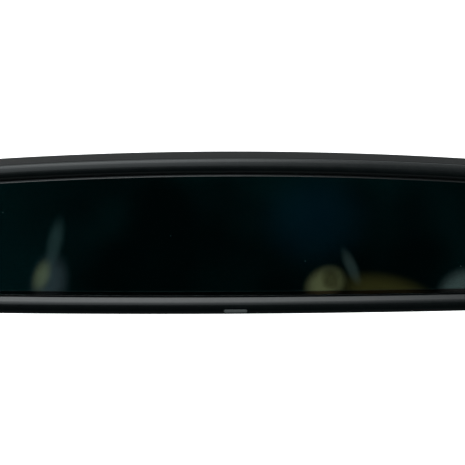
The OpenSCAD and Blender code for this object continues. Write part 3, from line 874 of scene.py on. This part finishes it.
# Arm tube: sleeve with rounded mouths and a spherical pocket at each end
bm = bmesh.new()
q = math.degrees(math.asin(6.5 / 8.3))
prof = fillet([(6.5, 2.0, 0), (6.5, -6.5, 0.45), (10.3, -6.5, 3.0), (10.3, ARM + 6.5, 3.0), (6.5, ARM + 6.5, 0.45),
               (6.5, ARM - 2.0, 0)], False, 9.0)[1:-1]
prof += arc(8.3, q, 180 - q, 16, (0, ARM))
prof += arc(8.3, q, 180 - q, 16, (0, 0))
rows = lathe(bm, prof, at(0, AY, AZ), (0, -math.cos(TILT), math.sin(TILT)), 96)
close_lathe(bm, rows)
tube = new_object("arm_sleeve", bm, M["black_tube"], "arm", 38.0)
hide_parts("arm_tube")


# Seats: rings and cups that grip the balls
def seat(name, foot, h0, h1, body, node):
    axis = Vector((0, -math.cos(TILT), math.sin(TILT)))
    o = Vector(at(0, AY, AZ)) if foot else Vector(at(0, AY, AZ)) + axis * ARM * MM
    if not foot:
        axis = -axis
    ro, ri = 8.2, 7.05
    a0, a1 = (math.degrees(math.acos(h / ro)) for h in (h0, h1))
    b0, b1 = (math.degrees(math.acos(h / ri)) for h in (h0, h1))
    prof = arc(ro, a0, a1, 14) + arc(ri, b1, b0, 14)
    bm = bmesh.new()
    rows = lathe(bm, prof, o, axis, 72)
    close_lathe(bm, rows)
    ob = new_object(name, bm, M["seat_nylon"], body, 40.0)
    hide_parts(node)


seat("foot_ring_seat", True, -2.6, -0.2, "foot_outer_ring", "foot_outer_seat")
seat("foot_cup_seat", True, 2.5, 6.2, "foot_inner_cup", "foot_inner_seat")
seat("head_ring_seat", False, -2.6, -0.2, "head_outer_ring", "head_outer_seat")
seat("head_cup_seat", False, 2.5, 6.2, "head_inner_cup", "head_inner_seat")

# Foot, button and plug socket: the CAD shapes with their edges rounded
bevelled("foot_bracket", "foot_casting", M["black_zinc"], "foot", 0.7, 4)
bevelled("windshield_button", "glass_button", M["button_metal"], "foot", 0.35, 3)
bevelled("adhesive_pad", "bond_pad", M["bond_film"], "foot", 0.08, 2)
bevelled("set_screw", "grub_screw", M["screw_steel"], "foot", 0.25, 2)
bevelled("connector_socket", "plug_socket", M["socket_black"], "head", 0.25, 3)
bevelled("connector_pins", "socket_pins", M["pin_tin"], "head", 0.1, 2)

# ------------------------------------------------------- carried-over nodes
NODE_MATERIALS = {
    "ec_gel": "dimming_gel", "edge_seal": "epoxy_seal", "bus_clip_top": "contact_strip",
    "bus_clip_bottom": "contact_strip", "foam_pad": "grey_foam", "glass_carrier": "carrier_plastic",
    "circuit_board": "board_green", "glare_sensor": "sensor_black", "ambient_sensor": "sensor_black",
    "stud_plate": "zinc_steel", "stud_nut": "zinc_steel", "plate_screws": "screw_steel",
    "board_screws": "screw_steel", "arm_spring": "spring_steel", "spring_washers": "spring_steel",
}
for node, name in NODE_MATERIALS.items():
    ob = frame["nodes"][node]
    if not ob.material_slots:
        ob.data.materials.append(M[name])
    for s in ob.material_slots:
        s.material = M[name]

# ------------------------------------------------------------------- stage
def floor_material():
    g = Graph("pale_floor")
    n = g.noise(0.8, 3.0, 0.5)
    c = g.mix(g.remap(n, 0.0, 1.0), (0.93, 0.93, 0.925), (0.95, 0.95, 0.945))
    g.colour(c)
    g.link(c, g.bsdf.inputs["Emission Color"])
    g.set(Emission_Strength=1.2)
    g.rough(g.remap(n, 0.7, 0.8))
    return g.mat


bm = bmesh.new()
size, step = 60.0, 12
grid = [[bm.verts.new((-size + 2 * size * i / step, -size + 2 * size * j / step, -1.6)) for j in range(step + 1)]
        for i in range(step + 1)]
for i in range(step):
    for j in range(step):
        bm.faces.new((grid[i][j], grid[i + 1][j], grid[i + 1][j + 1], grid[i][j + 1]))
me = bpy.data.meshes.new("floor")
bm.to_mesh(me)
bm.free()
me.materials.append(floor_material())
floor = bpy.data.objects.new("floor", me)
bpy.context.scene.collection.objects.link(floor)
floor.visible_glossy = False
floor.visible_diffuse = False
floor.visible_shadow = False
floor.visible_transmission = False


# ------------------------------------------------------------------- light
def world():
    w = bpy.data.worlds.new("studio")
    bpy.context.scene.world = w
    w.use_nodes = True
    nt = w.node_tree
    nt.nodes.clear()
    L = nt.links.new

    def math_node(op, a, b=None, c=None, clamp=False):
        n = nt.nodes.new("ShaderNodeMath")
        n.operation = op
        n.use_clamp = clamp
        for i, v in enumerate((a, b, c)):
            if v is None:
                continue
            if isinstance(v, (int, float)):
                n.inputs[i].default_value = v
            else:
                L(v, n.inputs[i])
        return n.outputs[0]

    def smooth(v, lo, hi):
        n = nt.nodes.new("ShaderNodeMapRange")
        n.interpolation_type = "SMOOTHSTEP"
        n.inputs["From Min"].default_value = lo
        n.inputs["From Max"].default_value = hi
        L(v, n.inputs["Value"])
        return n.outputs["Result"]

    tc = nt.nodes.new("ShaderNodeTexCoord")
    sep = nt.nodes.new("ShaderNodeSeparateXYZ")
    L(tc.outputs["Generated"], sep.inputs[0])
    X, Y, Z = sep.outputs

    def add(layers):
        """Sum of (weight socket, colour) layers."""
        total = None
        for fac, col in layers:
            m = nt.nodes.new("ShaderNodeVectorMath")
            m.operation = "SCALE"
            m.inputs[0].default_value = col
            if isinstance(fac, (int, float)):
                m.inputs["Scale"].default_value = fac
            else:
                L(fac, m.inputs["Scale"])
            if total is None:
                total = m.outputs[0]
            else:
                a = nt.nodes.new("ShaderNodeVectorMath")
                a.operation = "ADD"
                L(total, a.inputs[0])
                L(m.outputs[0], a.inputs[1])
                total = a.outputs[0]
        return total

    def dot(v):
        return math_node("ADD", math_node("ADD", math_node("MULTIPLY", X, v.x), math_node("MULTIPLY", Y, v.y)),
                         math_node("MULTIPLY", Z, v.z))

    ahead = Vector((0.0454, -0.9713, -0.2334)).normalized()
    across = Vector((-ahead.y, ahead.x, 0)).normalized()
    over = across.cross(ahead)
    over = over if over.z > 0 else -over
    depth = math_node("MAXIMUM", dot(ahead), 0.01)
    U, V = math_node("DIVIDE", dot(across), depth), math_node("DIVIDE", dot(over), depth)

    def patch(u, v, a, b, turn, soft):
        """Soft ellipse of light ahead of the glass, in tangents of the angles from its middle."""
        c, s = math.cos(math.radians(turn)), math.sin(math.radians(turn))
        du, dv = math_node("SUBTRACT", U, u), math_node("SUBTRACT", V, v)
        p = math_node("DIVIDE", math_node("ADD", math_node("MULTIPLY", du, c), math_node("MULTIPLY", dv, s)), a)
        q = math_node("DIVIDE", math_node("SUBTRACT", math_node("MULTIPLY", dv, c), math_node("MULTIPLY", du, s)), b)
        r = math_node("SQRT", math_node("ADD", math_node("MULTIPLY", p, p), math_node("MULTIPLY", q, q)))
        return smooth(r, 1.0 + soft * 0.45, max(0.05, 1.0 - soft * 0.6))

    cloud = nt.nodes.new("ShaderNodeTexNoise")
    cloud.inputs["Scale"].default_value = 9.0
    cloud.inputs["Detail"].default_value = 2.0
    L(tc.outputs["Generated"], cloud.inputs["Vector"])
    murk = math_node("ADD", math_node("MULTIPLY", smooth(cloud.outputs["Fac"], 0.36, 0.66), 0.9), 0.3)
    sky = math_node("MULTIPLY", smooth(Z, 0.55, 0.95), math_node("SUBTRACT", 1.0, math_node("MULTIPLY", smooth(Y, -0.50, 0.20), 0.86)))
    # the light fades to the right, low down more than overhead
    sky = math_node("MULTIPLY", sky, math_node("SUBTRACT", 1.0, math_node("MULTIPLY", smooth(X, -0.04, 0.24), 0.56)))
    front = math_node("MULTIPLY", smooth(Z, 0.12, 0.42), smooth(Y, 0.3, -0.3))
    front = math_node("MULTIPLY", front, math_node("SUBTRACT", 1.0, math_node("MULTIPLY", smooth(X, 0.01, 0.14), 0.96)))
    ramp = smooth(Z, -0.05, 0.75)
    back = math_node("MULTIPLY", smooth(Y, -0.1, 0.9), smooth(Z, -0.9, 0.3))
    sides = math_node("MULTIPLY", smooth(math_node("ABSOLUTE", X), 0.45, 0.95), smooth(Z, -0.7, 0.4))
    below = math_node("MULTIPLY", smooth(Z, -0.5, -1.0), smooth(Y, -0.6, 0.3))
    layers = [
        (murk, (0.0012, 0.0155, 0.0165)),
        (sky, (1.40, 1.47, 1.48)),
        (front, (0.86, 0.95, 0.98)),
        (ramp, (0.12, 0.13, 0.13)),
        (back, (0.22, 0.225, 0.23)),
        (sides, (0.30, 0.31, 0.32)),
        (below, (0.22, 0.23, 0.235)),
        # dim soft shapes in front, so the dark glass isn't a dead flat tone
        (patch(0.0600, 0.0110, 0.030, 0.026, 0, 1.5), (0.000, 0.010, 0.022)),
        (patch(-0.1300, -0.0080, 0.0050, 0.0150, -12, 1.2), (0.050, 0.068, 0.068)),
        (patch(-0.1340, -0.0380, 0.0115, 0.0180, -10, 1.1), (0.085, 0.085, 0.098)),
        (patch(-0.1395, -0.0330, 0.0052, 0.0100, -18, 1.3), (0.200, 0.165, 0.060)),
        (patch(0.0680, -0.0375, 0.0135, 0.0105, 35, 0.9), (0.300, 0.235, 0.110)),
        (patch(0.0720, -0.0345, 0.0060, 0.0075, 20, 0.9), (-0.170, -0.140, -0.070)),
        (patch(0.1130, -0.0440, 0.0300, 0.0125, -10, 0.9), (0.095, 0.062, 0.014)),
        (patch(0.0870, -0.0240, 0.0040, 0.0120, 25, 1.0), (0.060, 0.068, 0.064)),
        (patch(0.1700, -0.0420, 0.0170, 0.0140, 25, 0.9), (0.170, 0.175, 0.170)),
    ]
    bg = nt.nodes.new("ShaderNodeBackground")
    L(add(layers), bg.inputs["Color"])
    white = nt.nodes.new("ShaderNodeBackground")
    white.inputs["Color"].default_value = (1, 1, 1, 1)
    white.inputs["Strength"].default_value = 1.15
    lp = nt.nodes.new("ShaderNodeLightPath")
    mix = nt.nodes.new("ShaderNodeMixShader")
    L(lp.outputs["Is Camera Ray"], mix.inputs[0])
    L(bg.outputs[0], mix.inputs[1])
    L(white.outputs[0], mix.inputs[2])
    out = nt.nodes.new("ShaderNodeOutputWorld")
    L(mix.outputs[0], out.inputs[0])


world()


def area(name, place, target, size, power, colour=(1, 1, 1)):
    d = bpy.data.lights.new(name, "AREA")
    d.shape = "RECTANGLE"
    d.size, d.size_y = size
    d.energy = power
    d.color = colour
    o = bpy.data.objects.new(name, d)
    o.location = place
    o.rotation_mode = "QUATERNION"
    o.rotation_quaternion = (Vector(target) - Vector(place)).to_track_quat("-Z", "Y")
    bpy.context.scene.collection.objects.link(o)
    return o


area("overhead", (-0.42, -0.58, 1.2), (-0.2, -0.12, 0), (1.4, 0.7), 4.2, (0.97, 1.0, 1.0))

area("rear_left", (-1.6, 1.3, 0.55), (0, -0.08, 0), (2.2, 1.8), 26.0, (1.0, 1.0, 0.99))
area("rear_right", (1.7, 1.0, -0.1), (0, -0.08, 0), (1.6, 1.6), 13.0, (1.0, 1.0, 0.99))

# ------------------------------------------------------------------ camera
cam = bpy.data.cameras.new("camera")
cam.lens = 105.68
cam.sensor_width = 36
cam.sensor_fit = "HORIZONTAL"
cam.clip_start, cam.clip_end = 0.02, 200
cam.dof.use_dof = False
camera = bpy.data.objects.new("camera", cam)
bpy.context.scene.collection.objects.link(camera)
el, az, roll = math.radians(13.5), math.radians(-2.676), math.radians(0.456)
back = Vector((math.sin(az) * math.cos(el), -math.cos(az) * math.cos(el), math.sin(el)))
right = Vector((math.cos(az), math.sin(az), 0))
up = back.cross(right)
right, up = right * math.cos(roll) + up * math.sin(roll), up * math.cos(roll) - right * math.sin(roll)
target = Vector((-1.576 * MM, -PY * MM, 1.94 * MM))
rot = Matrix((right, up, back)).transposed().to_4x4()
camera.matrix_world = Matrix.Translation(target + back * 0.5653) @ rot
bpy.context.scene.camera = camera

scene = bpy.context.scene
scene.view_settings.view_transform = "Standard"
scene.view_settings.look = "None"
scene.view_settings.exposure = 0.0
scene.view_settings.gamma = 1.0
